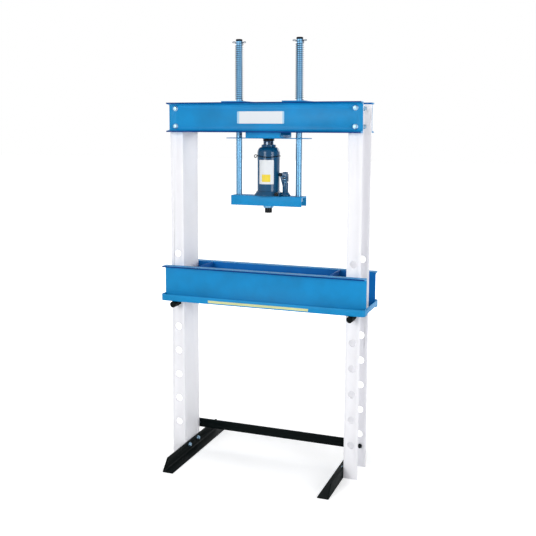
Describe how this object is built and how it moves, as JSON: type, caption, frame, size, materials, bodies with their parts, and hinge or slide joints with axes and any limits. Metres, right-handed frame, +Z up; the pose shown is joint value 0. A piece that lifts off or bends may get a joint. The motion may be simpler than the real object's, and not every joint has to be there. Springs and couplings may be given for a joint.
{
  "type": "hydraulic shop press",
  "caption": "Free-standing H-frame press: a bottle jack on a sprung carriage pushes a nose down towards a bed that rests on pins in the uprights' holes.",
  "frame": {"origin": "on the floor, at the middle of the rectangle that the press covers", "axes": "+Z up, +X to the right across the two uprights as seen from the front, -Y towards the front"},
  "size_m": [0.8546, 0.514, 1.7058],
  "materials": {
    "blue_paint": "semi-gloss blue paint",
    "white_paint": "semi-gloss white paint",
    "black_paint": "satin black paint",
    "jack_paint": "gloss dark blue paint",
    "bright_zinc": "bright zinc plate",
    "bright_steel": "ground bright steel",
    "spring_steel": "oiled dark spring steel",
    "black_steel": "blackened steel",
    "rubber": "matt black rubber"
  },
  "bodies": {
    "frame": {"upright_left": "white_paint", "upright_right": "white_paint", "top_beam_front": "blue_paint", "top_beam_rear": "blue_paint", "top_beam_front_bolt_left_low": "bright_zinc", "top_beam_front_bolt_left_high": "bright_zinc", "top_beam_front_bolt_right_low": "bright_zinc", "top_beam_front_bolt_right_high": "bright_zinc", "top_beam_rear_bolt_left_low": "bright_zinc", "top_beam_rear_bolt_left_high": "bright_zinc", "top_beam_rear_bolt_right_low": "bright_zinc", "top_beam_rear_bolt_right_high": "bright_zinc", "head_channel": "blue_paint", "rod_guide_strap": "blue_paint", "guide_plate_left": "blue_paint", "guide_plate_right": "blue_paint", "foot_left": "black_paint", "foot_right": "black_paint", "rear_cross_bar": "black_paint", "jack_ram": "black_steel", "jack_saddle": "black_steel", "piston_cup": "rubber", "return_spring_left": "spring_steel", "return_spring_right": "spring_steel"},
    "carriage": {"bolster": "blue_paint", "rod_left": "bright_steel", "rod_right": "bright_steel", "rod_cap_left": "rubber", "rod_cap_right": "rubber", "spring_washer_left": "bright_zinc", "spring_washer_right": "bright_zinc", "split_pin_left": "bright_zinc", "split_pin_right": "bright_zinc", "rod_nut_left": "bright_zinc", "rod_nut_right": "bright_zinc", "nose_collar": "bright_steel", "press_nose": "black_steel", "jack_base": "jack_paint", "pressure_cylinder": "bright_steel", "jack_tank": "jack_paint", "neck_nut": "jack_paint", "wiper_seal": "rubber", "tank_wire": "black_steel", "pump_barrel": "jack_paint", "pivot_pin": "black_steel"},
    "rocker": {"handle_socket": "jack_paint"},
    "plunger": {"pump_plunger": "bright_steel", "plunger_pin": "black_steel"},
    "valve": {"release_valve": "black_steel"},
    "bed": {"bed_channel_front": "blue_paint", "bed_channel_rear": "blue_paint", "bed_skirt_front": "blue_paint", "bed_skirt_rear": "blue_paint", "bed_end_bar_left": "blue_paint", "bed_end_bar_right": "blue_paint", "bed_cross_plate_left": "blue_paint", "bed_cross_plate_right": "blue_paint"},
    "pin_left": {"support_pin_left": "black_paint"},
    "pin_right": {"support_pin_right": "black_paint"}
  },
  "joints": [
    {"name": "carriage_slide", "type": "slide", "parent": "frame", "child": "carriage", "axis": [0, 0, -1], "range_m": [0, 0.125], "stiffness_N_per_m": 2000, "springref_m": -0.15, "deforming": ["return_spring_left", "return_spring_right"]},
    {"name": "pump_rock", "type": "hinge", "parent": "carriage", "child": "rocker", "pos_m": [0.054, 0.016, 1.176], "axis": [0, -1, 0], "range_deg": [0, 31]},
    {"name": "plunger_slide", "type": "slide", "parent": "carriage", "child": "plunger", "axis": [0, 0, 1], "range_m": [0, 0.0089]},
    {"name": "valve_turn", "type": "hinge", "parent": "carriage", "child": "valve", "pos_m": [0.05, -0.0263, 1.101], "axis": [0, -1, 0], "range_deg": [0, 360]},
    {"name": "bed_lift", "type": "slide", "parent": "frame", "child": "bed", "axis": [0, 0, 1], "range_m": [0, 0.2032]},
    {"name": "pin_left_pull", "type": "slide", "parent": "frame", "child": "pin_left", "axis": [0, -1, 0], "range_m": [0, 0.18]},
    {"name": "pin_right_pull", "type": "slide", "parent": "frame", "child": "pin_right", "axis": [0, -1, 0], "range_m": [0, 0.18]}
  ],
  "couplings": [
    {"joint": "pump_rock", "follows": "plunger_slide", "rad_per_m": 58.824}
  ]
}
